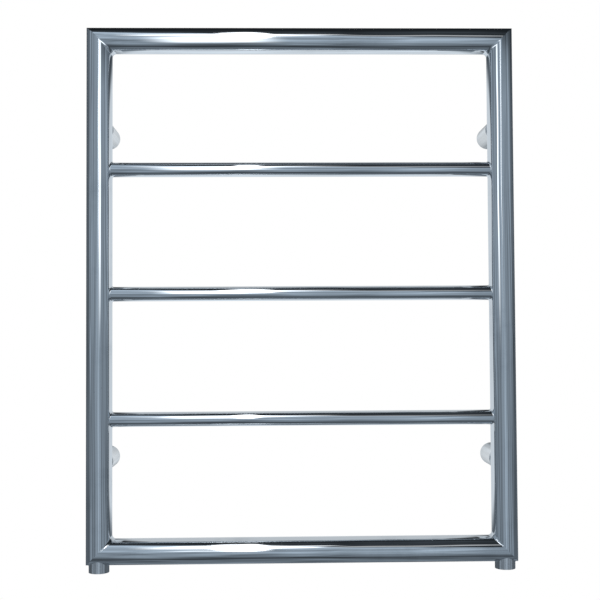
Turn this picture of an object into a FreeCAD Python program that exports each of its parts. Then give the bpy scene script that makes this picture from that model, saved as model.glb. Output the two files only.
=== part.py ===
"""Ladder towel warmer: a mitred frame of chromed steel tube with three rungs, hung on four wall brackets.

The frame carries the heating water. It stands in front of the wall on four posts that slide in sleeves,
so its distance from the wall can be set before the grub screws are tightened.

Row frame: +X to the right, +Z up, the wall is the plane Y = 0 and the front faces -Y.
The origin is the centre of the four wall fixings. Millimetres.
"""

import FreeCAD, Part
import os

import Sketcher

SIZES = [
    ("frame_diameter", 32, "outside of the four frame tubes"),
    ("frame_wall", 2, "wall of the frame tubes"),
    ("rung_diameter", 18, "outside of the three rungs"),
    ("rung_wall", 1.5, "wall of the rungs"),
    ("upright_spacing", 500, "between the two uprights' axes"),
    ("rail_spacing", 632, "between the top and bottom rails' axes"),
    ("stand_off", 80, "from the wall to the tube axes"),
    ("bracket_inset", 108, "from a rail's axis in to the brackets' axes"),
    ("socket_diameter", 25, "outside of the water sockets"),
    ("socket_length", 8.5, "a water socket's length below the bottom rail"),
    ("socket_bore", 18.63, "minor diameter of the G1/2 thread"),
    ("socket_thread", 8, "depth of the thread from the mouth"),
    ("socket_waterway", 15, "hole from the socket into the bottom rail"),
    ("post_diameter", 20, "posts on the uprights' backs"),
    ("slide_clearance", 0.05, "radial play of a post in its sleeve"),
    ("sleeve_diameter", 28, "outside of the bracket sleeves"),
    ("sleeve_skirt", 1.9, "sleeve wall around the wall base"),
    ("seat_clearance", 0.1, "radial play of a wall base in its sleeve"),
    ("wall_gap", 0.5, "between a sleeve's rim and the wall"),
    ("adjust_in", 2, "how far the rail can be pushed towards the wall"),
    ("end_gap", 2, "left between a post and its base at that limit"),
    ("front_gap", 3, "left between an upright and a sleeve at that limit"),
    ("base_length", 15, "length of a wall base"),
    ("base_gap", 1, "between a wall base and the step in its sleeve"),
    ("fixing_hole", 5.5, "hole for the wall screw"),
    ("fixing_head", 12, "recess for the wall screw's head"),
    ("fixing_recess", 4, "depth of that recess before its cone"),
    ("groove_offset", 8, "from the wall to the middle of the base's groove"),
    ("groove_width", 5, "width of the groove that the grub screw enters"),
    ("groove_depth", 1.2, "depth of that groove"),
    ("grub_diameter", 4, "grub screws"),
    ("grub_clearance", 0.05, "radial play of the grub screws"),
    ("grub_recess", 0.3, "how far a grub screw sits below the sleeve's surface"),
    ("grub_tip_gap", 0.25, "between a slackened grub screw and what it grips"),
    ("grub_offset", 5, "from the sleeve's front to the post's grub screw"),
    ("hex_across_corners", 2.3, "socket in a grub screw"),
    ("hex_depth", 1.4, "depth of that socket"),
    ("vent_drop", 40, "from the top rail's axis down to the air vent"),
    ("vent_boss_diameter", 20, "boss welded to the upright's back"),
    ("vent_boss_height", 6, "boss above the upright's back"),
    ("vent_air_hole", 6, "hole from the upright into the boss"),
    ("vent_thread", 12, "thread of the vent plug"),
    ("vent_thread_clearance", 0.05, "radial play of that thread"),
    ("vent_washer_thickness", 1.5, "sealing washer"),
    ("vent_flange_diameter", 18, "flange of the vent plug"),
    ("vent_flange_thickness", 2.5, "flange of the vent plug"),
    ("vent_neck_diameter", 11, "neck that the spout ring turns on"),
    ("vent_collar_lip", 0.75, "how far the collar that keeps the spout ring on stands out from the neck"),
    ("vent_collar_thickness", 1.2, "that collar"),
    ("spout_ring_diameter", 17, "outside of the spout ring"),
    ("spout_ring_thickness", 6, "spout ring along its axis"),
    ("spout_clearance", 0.05, "radial play of the spout ring"),
    ("spout_side_gap", 0.1, "play at each side of the spout ring"),
    ("spout_reach", 12, "from the vent's axis to the spout's mouth"),
    ("spout_diameter", 4.4, "outside of the spout"),
    ("drip_hole", 2, "hole through the spout and the plug's neck"),
    ("drip_groove", 1.1, "depth of the groove inside the spout ring"),
    ("screw_diameter", 6, "vent screw"),
    ("screw_clearance", 0.05, "radial play of the vent screw"),
    ("seat_offset", 4, "from the boss's outer face in to the vent's seat"),
    ("seat_hole", 2, "hole that the screw's tip closes"),
    ("seal_depth", 0.9, "depth of the O-ring's groove"),
    ("seal_width", 1.8, "width of the O-ring's groove"),
    ("seal_clearance", 0.02, "gap at each side of the O-ring"),
    ("key_square", 5, "square end of the vent screw"),
    ("key_length", 7, "length of the square end"),
    ("key_gap", 0.2, "between the plug's end and the square"),
]

SIDES = {"left": -1, "right": 1}
LEVELS = {"top": 1, "bottom": -1}
RUNGS = {"top_rung": 1, "middle_rung": 0, "bottom_rung": -1}

# Expressions for what follows from the sheet.
FRAME_R = "(sizes.frame_diameter / 2)"
RUNG_R = "(sizes.rung_diameter / 2)"
UPRIGHT_X = "(sizes.upright_spacing / 2)"
RAIL_Z = "(sizes.rail_spacing / 2)"
BRACKET_Z = f"({RAIL_Z} - sizes.bracket_inset)"
CLEAR_GAP = "((sizes.rail_spacing - sizes.frame_diameter - 3 * sizes.rung_diameter) / 4)"
RUNG_PITCH = f"({CLEAR_GAP} + sizes.rung_diameter)"

POST_R = "(sizes.post_diameter / 2)"
POST_START = "(sizes.base_length + sizes.adjust_in + sizes.end_gap)"
SLEEVE_R = "(sizes.sleeve_diameter / 2)"
SLEEVE_BORE_R = f"({POST_R} + sizes.slide_clearance)"
SLEEVE_LENGTH = f"(sizes.stand_off - {FRAME_R} - sizes.adjust_in - sizes.front_gap)"
SEAT_R = f"({SLEEVE_R} - sizes.sleeve_skirt)"
SEAT_DEPTH = "(sizes.base_length + sizes.base_gap)"
BASE_R = f"({SEAT_R} - sizes.seat_clearance)"
GROOVE_R = f"({BASE_R} - sizes.groove_depth)"
GRUB_R = "(sizes.grub_diameter / 2)"
POST_GRUB_Z = f"({SLEEVE_LENGTH} - sizes.grub_offset)"

BOSS_FACE = f"({FRAME_R} + sizes.vent_boss_height)"
FLANGE_START = f"({BOSS_FACE} + sizes.vent_washer_thickness)"
NECK_START = f"({FLANGE_START} + sizes.vent_flange_thickness)"
NECK_R = "(sizes.vent_neck_diameter / 2)"
RING_START = f"({NECK_START} + sizes.spout_side_gap)"
RING_END = f"({RING_START} + sizes.spout_ring_thickness)"
RING_MIDDLE = f"({RING_START} + sizes.spout_ring_thickness / 2)"
RING_BORE_R = f"({NECK_R} + sizes.spout_clearance)"
COLLAR_START = f"({RING_END} + sizes.spout_side_gap)"
PLUG_END = f"({COLLAR_START} + sizes.vent_collar_thickness)"
SCREW_R = "(sizes.screw_diameter / 2)"
SCREW_BORE_R = f"({SCREW_R} + sizes.screw_clearance)"
SEAT_START = f"({BOSS_FACE} - sizes.seat_offset)"
SEAT_HOLE_R = "(sizes.seat_hole / 2)"
SEAT_END = f"({SEAT_START} + {SCREW_BORE_R} - {SEAT_HOLE_R})"
WAIST_R = f"({SCREW_R} - sizes.seal_depth)"
SEAL_Z = f"({PLUG_END} - sizes.vent_collar_thickness - sizes.seal_width / 2)"

# Turning a piece built along its own Z: towards the room, towards the wall, along the rungs.
UPRIGHT = FreeCAD.Rotation()
TO_ROOM = FreeCAD.Rotation(FreeCAD.Vector(1, 0, 0), 90)
TO_WALL = FreeCAD.Rotation(FreeCAD.Vector(1, 0, 0), -90)
ALONG_X = FreeCAD.Rotation(FreeCAD.Vector(0, 1, 0), 90)
ALONG_MINUS_X = FreeCAD.Rotation(FreeCAD.Vector(0, 1, 0), -90)

doc = FreeCAD.newDocument("towel_warmer")
sheet = doc.addObject("Spreadsheet::Sheet", "sizes")
for row, (alias, number, meaning) in enumerate(SIZES, 1):
    sheet.set(f"A{row}", alias)
    sheet.set(f"B{row}", str(number))
    sheet.set(f"C{row}", meaning)
    sheet.setAlias(f"B{row}", alias)
doc.recompute()


def place(piece, at=("0", "0", "0"), turn=UPRIGHT):
    """Turn a piece, then bind its position to the sheet."""
    piece.Placement = FreeCAD.Placement(FreeCAD.Vector(), turn)
    for letter, where in zip("xyz", at):
        piece.setExpression(f"Placement.Base.{letter}", where)
    return piece


def cylinder(name, radius, height, at=("0", "0", "0"), turn=UPRIGHT):
    piece = doc.addObject("Part::Cylinder", name)
    piece.setExpression("Radius", radius)
    piece.setExpression("Height", height)
    return place(piece, at, turn)


def fused(name, pieces):
    piece = doc.addObject("Part::MultiFuse", name)
    piece.Shapes = pieces
    return piece


def cut(name, base, tools):
    """The base less all the tools."""
    piece = doc.addObject("Part::Cut", name)
    piece.Base = base
    piece.Tool = tools[0] if len(tools) == 1 else fused(f"{name}_tools", tools)
    return piece


def turned(name, profile):
    """A body turned about its Z axis from a closed outline of (radius, height) expressions."""
    body = doc.addObject("PartDesign::Body", name)
    sketch = body.newObject("Sketcher::SketchObject", f"{name}_outline")
    plane = next(f for f in body.Origin.OriginFeatures if f.Role == "XZ_Plane")
    sketch.AttachmentSupport = (plane, [""])
    sketch.MapMode = "FlatFace"
    corners = [
        FreeCAD.Vector(float(sketch.evalExpression(radius)), float(sketch.evalExpression(height)), 0)
        for radius, height in profile
    ]
    for line, corner in enumerate(corners):
        sketch.addGeometry(Part.LineSegment(corner, corners[(line + 1) % len(corners)]), False)
    for line, (radius, height) in enumerate(profile):
        following = (line + 1) % len(profile)
        sketch.addConstraint(Sketcher.Constraint("Coincident", line, 2, following, 1))
        pin_to_sheet(sketch, line, "DistanceX", radius, -2)
        pin_to_sheet(sketch, line, "DistanceY", height, -1)
    revolution = body.newObject("PartDesign::Revolution", f"{name}_revolution")
    revolution.Profile = sketch
    revolution.ReferenceAxis = (sketch, ["V_Axis"])
    revolution.Angle = 360
    body.Tip = revolution
    return body


def pin_to_sheet(sketch, line, direction, where, axis):
    """Hold a line's first point at a distance from the origin, or on the axis where that is nothing."""
    if where == "0":
        sketch.addConstraint(Sketcher.Constraint("PointOnObject", line, 1, axis))
        return
    distance = float(sketch.evalExpression(where))
    number = sketch.addConstraint(Sketcher.Constraint(direction, -1, 1, line, 1, distance))
    sketch.setExpression(f"Constraints[{number}]", where)


def mitre_block(name, corner, cut_x, cut_z):
    """A block with a face on the 45 degree plane through a corner, on the side (cut_x, cut_z) points to."""
    block = doc.addObject("Part::Box", name)
    for side in ("Length", "Width", "Height"):
        block.setExpression(side, "3 * sizes.frame_diameter")
    angle = {(1, 1): 45, (-1, 1): -45, (1, -1): 135, (-1, -1): -135}[cut_x, cut_z]
    corner_x, corner_z = corner
    at = (
        f"{corner_x} - {cut_z} * sizes.frame_diameter",
        "-1.5 * sizes.frame_diameter",
        f"{corner_z} + {cut_x} * sizes.frame_diameter",
    )
    return place(block, at, FreeCAD.Rotation(FreeCAD.Vector(0, 1, 0), angle))


def frame_tube(name, span, turn):
    """Outside and bore of a frame tube about the origin, its ends still square and long enough to mitre."""
    length = f"({span} + 2 * sizes.frame_diameter)"
    start = (f"-{length} / 2", "0", "0") if turn is ALONG_X else ("0", "0", f"-{length} / 2")
    outside = cylinder(f"{name}_outside", FRAME_R, length, start, turn)
    bore = cylinder(f"{name}_bore", f"{FRAME_R} - sizes.frame_wall", length, start, turn)
    return outside, bore


def upright(side):
    """An upright: mitred ends, a water hole for each rung, and on the left the air hole of the vent."""
    name = f"{side}_upright"
    sign = SIDES[side]
    outside, bore = frame_tube(name, "sizes.rail_spacing", UPRIGHT)
    tools = [bore]
    for level, up in LEVELS.items():
        tools.append(mitre_block(f"{name}_{level}_mitre", ("0", f"{up} * {RAIL_Z}"), -sign, up))
    inwards = ALONG_MINUS_X if sign > 0 else ALONG_X
    for rung, step in RUNGS.items():
        at = ("0", "0", f"{step} * {RUNG_PITCH}")
        tools.append(cylinder(f"{name}_{rung}_hole", f"{RUNG_R} - sizes.rung_wall", FRAME_R, at, inwards))
    if side == "left":
        at = ("0", "0", f"{RAIL_Z} - sizes.vent_drop")
        tools.append(cylinder(f"{name}_air_hole", "sizes.vent_air_hole / 2", FRAME_R, at, TO_WALL))
    return place(cut(name, outside, tools), (f"{sign} * {UPRIGHT_X}", "-sizes.stand_off", "0"))


def rail(level):
    """The top or bottom rail: mitred ends, and in the bottom one a hole above each water socket."""
    name = f"{level}_rail"
    up = LEVELS[level]
    outside, bore = frame_tube(name, "sizes.upright_spacing", ALONG_X)
    tools = [bore]
    for side, sign in SIDES.items():
        tools.append(mitre_block(f"{name}_{side}_mitre", (f"{sign} * {UPRIGHT_X}", "0"), sign, -up))
        if level == "bottom":
            at = (f"{sign} * {UPRIGHT_X}", "0", f"-{FRAME_R}")
            waterway = "sizes.socket_waterway / 2"
            tools.append(cylinder(f"{name}_{side}_waterway", waterway, "sizes.frame_wall * 2", at))
    return place(cut(name, outside, tools), ("0", "-sizes.stand_off", f"{up} * {RAIL_Z}"))


def rung(name, step):
    """A rung with its ends cut to the round of the uprights."""
    start = (f"-{UPRIGHT_X}", "0", "0")
    length = "sizes.upright_spacing"
    outside = cylinder(f"{name}_outside", RUNG_R, length, start, ALONG_X)
    tools = [cylinder(f"{name}_bore", f"{RUNG_R} - sizes.rung_wall", length, start, ALONG_X)]
    for side, sign in SIDES.items():
        at = (f"{sign} * {UPRIGHT_X}", "0", "-sizes.rung_diameter")
        tools.append(cylinder(f"{name}_{side}_saddle", FRAME_R, "2 * sizes.rung_diameter", at))
    return place(cut(name, outside, tools), ("0", "-sizes.stand_off", f"{step} * {RUNG_PITCH}"))


def water_socket(side):
    """A threaded socket under the bottom rail, saddle-cut to it. Its own Z starts at the mouth."""
    name = f"{side}_water_socket"
    rail_axis = f"(sizes.socket_length + {FRAME_R})"
    outside = cylinder(f"{name}_outside", "sizes.socket_diameter / 2", rail_axis)
    tools = [
        cylinder(f"{name}_thread", "sizes.socket_bore / 2", "sizes.socket_thread"),
        cylinder(f"{name}_waterway", "sizes.socket_waterway / 2", rail_axis),
        cylinder(
            f"{name}_saddle",
            FRAME_R,
            "2 * sizes.socket_diameter",
            ("-sizes.socket_diameter", "0", rail_axis),
            ALONG_X,
        ),
    ]
    at = (f"{SIDES[side]} * {UPRIGHT_X}", "-sizes.stand_off", f"-{RAIL_Z} - {rail_axis}")
    return place(cut(name, outside, tools), at)


def bracket_at(side, level):
    return (f"{SIDES[side]} * {UPRIGHT_X}", "0", f"{LEVELS[level]} * {BRACKET_Z}")


def post(side, level):
    """The stub welded to the upright's back; its own Z runs from the wall to the room."""
    name = f"{level}_{side}_post"
    stub = cylinder(f"{name}_stub", POST_R, f"sizes.stand_off - {POST_START}", ("0", "0", POST_START))
    saddle = cylinder(
        f"{name}_saddle",
        FRAME_R,
        "2 * sizes.post_diameter",
        ("0", "sizes.post_diameter", "sizes.stand_off"),
        TO_ROOM,
    )
    return place(cut(name, stub, [saddle]), bracket_at(side, level), TO_ROOM)


def sleeve(side, level):
    """The round stand-off: a skirt over the wall base, a bore for the post and two grub screw holes."""
    name = f"{level}_{side}_sleeve"
    body = turned(
        f"{name}_turning",
        [
            (SEAT_R, "sizes.wall_gap"),
            (SLEEVE_R, "sizes.wall_gap"),
            (SLEEVE_R, SLEEVE_LENGTH),
            (SLEEVE_BORE_R, SLEEVE_LENGTH),
            (SLEEVE_BORE_R, SEAT_DEPTH),
            (SEAT_R, SEAT_DEPTH),
        ],
    )
    hole_r = f"{GRUB_R} + sizes.grub_clearance"
    tools = [
        cylinder(f"{name}_post_hole", hole_r, SLEEVE_R, ("0", "0", POST_GRUB_Z), TO_ROOM),
        cylinder(f"{name}_base_hole", hole_r, SLEEVE_R, ("0", "0", "sizes.groove_offset"), TO_ROOM),
    ]
    return place(cut(name, body, tools), bracket_at(side, level), TO_ROOM)


def wall_base(side, level):
    """The turned plug that the wall screw holds, grooved outside, with a recess for the screw's head."""
    hole_r = "(sizes.fixing_hole / 2)"
    head_r = "(sizes.fixing_head / 2)"
    recess_floor = "(sizes.base_length - sizes.fixing_recess)"
    groove_start = "(sizes.groove_offset - sizes.groove_width / 2)"
    groove_end = "(sizes.groove_offset + sizes.groove_width / 2)"
    body = turned(
        f"{level}_{side}_wall_base",
        [
            (hole_r, "0"),
            (BASE_R, "0"),
            (BASE_R, groove_start),
            (GROOVE_R, groove_start),
            (GROOVE_R, groove_end),
            (BASE_R, groove_end),
            (BASE_R, "sizes.base_length"),
            (head_r, "sizes.base_length"),
            (head_r, recess_floor),
            (hole_r, f"{recess_floor} - {head_r} + {hole_r}"),
        ],
    )
    return place(body, bracket_at(side, level), TO_ROOM)


def grub_screws(name, tip_r, along):
    """One grub screw on each sleeve's underside, from tip_r out to the sleeve's surface."""
    head_r = f"({SLEEVE_R} - sizes.grub_recess)"
    screws = []
    for level, up in LEVELS.items():
        for side, sign in SIDES.items():
            label = f"{name}_{level}_{side}"
            shank = cylinder(f"{label}_shank", GRUB_R, f"{head_r} - {tip_r}", ("0", "0", tip_r))
            hexagon = doc.addObject("Part::Prism", f"{label}_hexagon")
            hexagon.Polygon = 6
            hexagon.setExpression("Circumradius", "sizes.hex_across_corners / 2")
            hexagon.setExpression("Height", "sizes.hex_depth")
            place(hexagon, ("0", "0", f"{head_r} - sizes.hex_depth"))
            downwards = FreeCAD.Rotation(FreeCAD.Vector(1, 0, 0), 180)
            at = (f"{sign} * {UPRIGHT_X}", f"-{along}", f"{up} * {BRACKET_Z}")
            screws.append(place(cut(label, shank, [hexagon]), at, downwards))
    group = doc.addObject("Part::Compound", name)
    group.Links = screws
    return group


def at_vent():
    return (f"-{UPRIGHT_X}", "-sizes.stand_off", f"{RAIL_Z} - sizes.vent_drop")


def vent_boss():
    """The threaded boss on the left upright's back. A vent piece's own Z starts at the upright's axis."""
    outside = cylinder("vent_boss_outside", "sizes.vent_boss_diameter / 2", BOSS_FACE)
    saddle_at = ("0", "sizes.vent_boss_diameter", "0")
    tools = [
        cylinder("vent_boss_thread", "sizes.vent_thread / 2 + sizes.vent_thread_clearance", BOSS_FACE),
        cylinder("vent_boss_saddle", FRAME_R, "2 * sizes.vent_boss_diameter", saddle_at, TO_ROOM),
    ]
    return place(cut("vent_boss", outside, tools), at_vent(), TO_WALL)


def vent_washer():
    bore_r = "(sizes.vent_thread / 2 + sizes.vent_thread_clearance)"
    rim_r = "(sizes.vent_flange_diameter / 2)"
    outline = [(bore_r, BOSS_FACE), (rim_r, BOSS_FACE), (rim_r, FLANGE_START), (bore_r, FLANGE_START)]
    return place(turned("vent_washer", outline), at_vent(), TO_WALL)


def vent_plug():
    """The plug screwed into the boss: seat, screw bore, neck for the spout ring and a drip hole to it."""
    thread_r = "(sizes.vent_thread / 2)"
    flange_r = "(sizes.vent_flange_diameter / 2)"
    collar_r = f"({NECK_R} + sizes.vent_collar_lip)"
    inner_end = f"({SEAT_START} - 1)"
    body = turned(
        "vent_plug_turning",
        [
            (SEAT_HOLE_R, inner_end),
            (thread_r, inner_end),
            (thread_r, FLANGE_START),
            (flange_r, FLANGE_START),
            (flange_r, NECK_START),
            (NECK_R, NECK_START),
            (NECK_R, COLLAR_START),
            (collar_r, COLLAR_START),
            (collar_r, PLUG_END),
            (SCREW_BORE_R, PLUG_END),
            (SCREW_BORE_R, SEAT_END),
            (SEAT_HOLE_R, SEAT_START),
        ],
    )
    drip_at = ("0", "0", RING_MIDDLE)
    drip_hole = cylinder("vent_plug_drip_hole", "sizes.drip_hole / 2", NECK_R, drip_at, TO_WALL)
    return place(cut("vent_plug", body, [drip_hole]), at_vent(), TO_WALL)


def vent_spout():
    """The ring that swivels on the plug's neck, with a groove inside and a short spout."""
    ring_r = "(sizes.spout_ring_diameter / 2)"
    groove_r = f"({RING_BORE_R} + sizes.drip_groove)"
    groove_start = f"({RING_MIDDLE} - sizes.drip_hole / 2)"
    groove_end = f"({RING_MIDDLE} + sizes.drip_hole / 2)"
    ring = turned(
        "vent_spout_ring",
        [
            (RING_BORE_R, RING_START),
            (ring_r, RING_START),
            (ring_r, RING_END),
            (RING_BORE_R, RING_END),
            (RING_BORE_R, groove_end),
            (groove_r, groove_end),
            (groove_r, groove_start),
            (RING_BORE_R, groove_start),
        ],
    )
    wall_middle = f"({groove_r} + {ring_r}) / 2"
    root = ("0", wall_middle, RING_MIDDLE)
    nose_length = f"sizes.spout_reach - {wall_middle}"
    nose = cylinder("vent_spout_nose", "sizes.spout_diameter / 2", nose_length, root, TO_WALL)
    drip_at = ("0", RING_BORE_R, RING_MIDDLE)
    drip_length = f"sizes.spout_reach - {RING_BORE_R}"
    drip = cylinder("vent_spout_drip", "sizes.drip_hole / 2", drip_length, drip_at, TO_WALL)
    return place(cut("vent_spout", fused("vent_spout_outside", [ring, nose]), [drip]), at_vent(), TO_WALL)


def vent_screw():
    """The screw: a cone against the seat, a waist by the drip hole, an O-ring groove and a square end."""
    tip = f"({SEAT_START} + sizes.screw_clearance)"
    cone_end = f"({tip} + {SCREW_R} - {SEAT_HOLE_R} + sizes.screw_clearance)"
    waist_start = f"({RING_MIDDLE} - sizes.drip_hole)"
    waist_end = f"({RING_MIDDLE} + sizes.drip_hole / 2)"
    groove_start = f"({SEAL_Z} - sizes.seal_width / 2)"
    groove_end = f"({SEAL_Z} + sizes.seal_width / 2)"
    square_start = f"({PLUG_END} + sizes.key_gap)"
    tip_r = f"({SEAT_HOLE_R} - sizes.screw_clearance)"
    body = turned(
        "vent_screw_turning",
        [
            ("0", tip),
            (tip_r, tip),
            (SCREW_R, cone_end),
            (SCREW_R, waist_start),
            (WAIST_R, waist_start),
            (WAIST_R, waist_end),
            (SCREW_R, waist_end),
            (SCREW_R, groove_start),
            (WAIST_R, groove_start),
            (WAIST_R, groove_end),
            (SCREW_R, groove_end),
            (SCREW_R, square_start),
            ("0", square_start),
        ],
    )
    square = doc.addObject("Part::Box", "vent_screw_square")
    square.setExpression("Length", "sizes.key_square")
    square.setExpression("Width", "sizes.key_square")
    square.setExpression("Height", "sizes.key_length")
    place(square, ("-sizes.key_square / 2", "-sizes.key_square / 2", square_start))
    return place(fused("vent_screw", [body, square]), at_vent(), TO_WALL)


def vent_o_ring():
    """The O-ring in the screw's groove, a hair clear of the groove and of the plug's bore."""
    inner_r = f"({WAIST_R} + sizes.seal_clearance)"
    outer_r = f"({SCREW_BORE_R} - sizes.seal_clearance)"
    ring = doc.addObject("Part::Torus", "vent_o_ring")
    ring.setExpression("Radius1", f"({inner_r} + {outer_r}) / 2")
    ring.setExpression("Radius2", f"({outer_r} - {inner_r}) / 2")
    x, y, z = at_vent()
    return place(ring, (x, f"{y} + {SEAL_Z}", z), TO_WALL)


pieces = [upright(side) for side in SIDES]
pieces += [rail(level) for level in LEVELS]
pieces += [rung(name, step) for name, step in RUNGS.items()]
pieces += [water_socket(side) for side in SIDES]
for make in (post, sleeve, wall_base):
    pieces += [make(side, level) for level in LEVELS for side in SIDES]
pieces.append(grub_screws("sleeve_grub_screws", f"({GROOVE_R} + sizes.grub_tip_gap)", "sizes.groove_offset"))
pieces.append(grub_screws("post_grub_screws", f"({POST_R} + sizes.grub_tip_gap)", POST_GRUB_Z))
pieces += [vent_boss(), vent_washer(), vent_plug(), vent_spout(), vent_screw(), vent_o_ring()]
doc.recompute()

for item in doc.Objects:
    if "Invalid" in item.State or "Error" in item.State:
        raise RuntimeError(f"{item.Label} failed: {item.State}")
for piece in pieces:
    if piece.Shape.isNull() or not piece.Shape.isValid() or not piece.Shape.Solids:
        raise RuntimeError(f"{piece.Label} has no sound shape")

os.makedirs("parts", exist_ok=True)
for piece in pieces:
    piece.Shape.exportStep(f"parts/{piece.Label}.step")
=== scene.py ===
"""Looks of a ladder towel warmer: chrome tubes, polished welds, threaded sockets, stand-offs and air vent."""

import math

import bpy
from mathutils import Matrix, Vector


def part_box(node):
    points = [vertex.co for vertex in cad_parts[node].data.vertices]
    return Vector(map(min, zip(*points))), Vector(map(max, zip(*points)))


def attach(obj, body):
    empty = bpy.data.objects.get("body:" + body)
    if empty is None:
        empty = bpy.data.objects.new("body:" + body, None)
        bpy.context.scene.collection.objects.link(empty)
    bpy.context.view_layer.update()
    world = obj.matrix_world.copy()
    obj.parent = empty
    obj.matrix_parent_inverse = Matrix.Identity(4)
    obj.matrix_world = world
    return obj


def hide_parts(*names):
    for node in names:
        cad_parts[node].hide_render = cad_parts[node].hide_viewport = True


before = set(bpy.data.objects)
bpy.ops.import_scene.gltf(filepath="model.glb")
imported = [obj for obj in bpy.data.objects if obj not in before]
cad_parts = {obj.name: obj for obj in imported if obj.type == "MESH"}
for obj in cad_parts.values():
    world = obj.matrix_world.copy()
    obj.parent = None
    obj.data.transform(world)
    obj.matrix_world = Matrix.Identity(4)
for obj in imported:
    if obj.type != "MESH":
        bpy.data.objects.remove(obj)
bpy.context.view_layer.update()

bl_info = {
    "name": "Ladder towel warmer",
    "version": (1, 0, 0),
    "blender": (4, 5, 0),
    "location": "View3D > Sidebar > Towel warmer",
    "description": "Builds the visible pieces and finishes of a chromed ladder towel warmer on its CAD frame",
    "category": "Object",
}

SIDES = {"left": -1, "right": 1}
LEVELS = {"top": 1, "bottom": -1}
RUNGS = ("top_rung", "middle_rung", "bottom_rung")
AXES = {"X": Vector((1, 0, 0)), "Y": Vector((0, 1, 0)), "Z": Vector((0, 0, 1))}

# The room seen in the chrome: tones by height in degrees, from straight back under the floor to over the top.
ROOM_TINT = (0.84, 1.0, 1.16)
ROOM_TONES = (
    (-180, 0.16),
    (-140, 0.22),
    (-100, 0.20),
    (-74, 0.16),
    (-63, 0.05),
    (-54, 0.14),
    (-36, 0.34),
    (10, 0.42),
    (40, 0.50),
    (70, 0.55),
    (90, 0.24),
    (180, 0.16),
)
# Soft lights: side, height and half their sizes (sideways as a share, upwards in degrees), strength.
GLOWS = (
    (-0.045, 34, 0.110, 10, 1.5),
    (-0.030, 36, 0.022, 40, 4.0),
    (-0.030, 46, 0.130, 4, 1.8),
    (-0.060, 10, 0.050, 7, 0.7),
    (0.14, 34, 0.12, 7, 0.45),
)


def middle(node):
    low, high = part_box(node)
    return (low + high) / 2


def half_size(node):
    low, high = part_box(node)
    return (high - low) / 2


# What the CAD frame gives: tube axes, radii and the places of the small parts.
FRAME_RADIUS = half_size("left_upright").y
RUNG_RADIUS = half_size("middle_rung").y
UPRIGHT_X = middle("right_upright").x
TUBE_Y = middle("top_rail").y
RAIL_Z = middle("top_rail").z
SOCKET_RADIUS = half_size("left_water_socket").x
SOCKET_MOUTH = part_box("left_water_socket")[0].z
POST_RADIUS = half_size("top_left_post").x
POST_START = -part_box("top_left_post")[1].y
SLEEVE_RADIUS = half_size("top_left_sleeve").x
SLEEVE_START = -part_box("top_left_sleeve")[1].y
SLEEVE_END = -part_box("top_left_sleeve")[0].y
BASE_RADIUS = half_size("top_left_wall_base").x
BASE_LENGTH = -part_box("top_left_wall_base")[0].y
BRACKET_Z = middle("top_left_sleeve").z
GRUB_RADIUS = half_size("post_grub_screws").y
POST_GRUB_Y = middle("post_grub_screws").y
BASE_GRUB_Y = middle("sleeve_grub_screws").y
VENT_Z = middle("vent_plug").z
BOSS_RADIUS = half_size("vent_boss").x
BOSS_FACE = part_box("vent_boss")[1].y
WASHER_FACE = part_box("vent_washer")[1].y
PLUG_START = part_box("vent_plug")[0].y
PLUG_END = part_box("vent_plug")[1].y
FLANGE_RADIUS = half_size("vent_plug").x
SPOUT_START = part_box("vent_spout")[0].y
SPOUT_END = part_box("vent_spout")[1].y
SPOUT_RADIUS = half_size("vent_spout").x
SPOUT_MOUTH = VENT_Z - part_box("vent_spout")[0].z
SCREW_RADIUS = half_size("vent_screw").x
SCREW_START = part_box("vent_screw")[0].y
SCREW_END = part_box("vent_screw")[1].y


class TowelWarmerSizes(bpy.types.PropertyGroup):
    """Sizes that the outside of the CAD frame doesn't give."""

    tube_wall: bpy.props.FloatProperty(
        name="Frame wall", description="Wall of the frame tubes", default=0.002, unit="LENGTH"
    )
    rung_wall: bpy.props.FloatProperty(
        name="Rung wall", description="Wall of the rungs", default=0.0015, unit="LENGTH"
    )
    seam_rounding: bpy.props.FloatProperty(
        name="Seam rounding", description="Rounding of the mitred rims", default=0.0003, unit="LENGTH"
    )
    edge_rounding: bpy.props.FloatProperty(
        name="Edge rounding", description="Broken edge on turned parts", default=0.0003, unit="LENGTH"
    )
    mitre_fillet: bpy.props.FloatProperty(
        name="Mitre fillet", description="Fillet polished into a mitre's weld", default=0.005, unit="LENGTH"
    )
    weld_fillet: bpy.props.FloatProperty(
        name="Weld fillet", description="Fillet polished into the other welds", default=0.0022, unit="LENGTH"
    )
    thread_pitch: bpy.props.FloatProperty(
        name="Thread pitch", description="Pitch of the water sockets' thread", default=0.001814, unit="LENGTH"
    )
    thread_depth: bpy.props.FloatProperty(
        name="Thread depth", description="Height of that thread", default=0.00116, unit="LENGTH"
    )
    thread_crest: bpy.props.FloatProperty(
        name="Thread crest", description="Radius inside that thread", default=0.009315, precision=6, unit="LENGTH"
    )
    thread_length: bpy.props.FloatProperty(
        name="Thread length", description="Depth of the threaded bore", default=0.008, unit="LENGTH"
    )
    waterway_radius: bpy.props.FloatProperty(
        name="Waterway radius", description="Hole from a socket to the rail", default=0.0075, unit="LENGTH"
    )
    tube_steps: bpy.props.IntProperty(
        name="Tube steps", description="Faces round a tube", default=144, min=24
    )
    turned_steps: bpy.props.IntProperty(
        name="Turned steps", description="Faces round a turned part", default=72, min=24
    )


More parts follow.
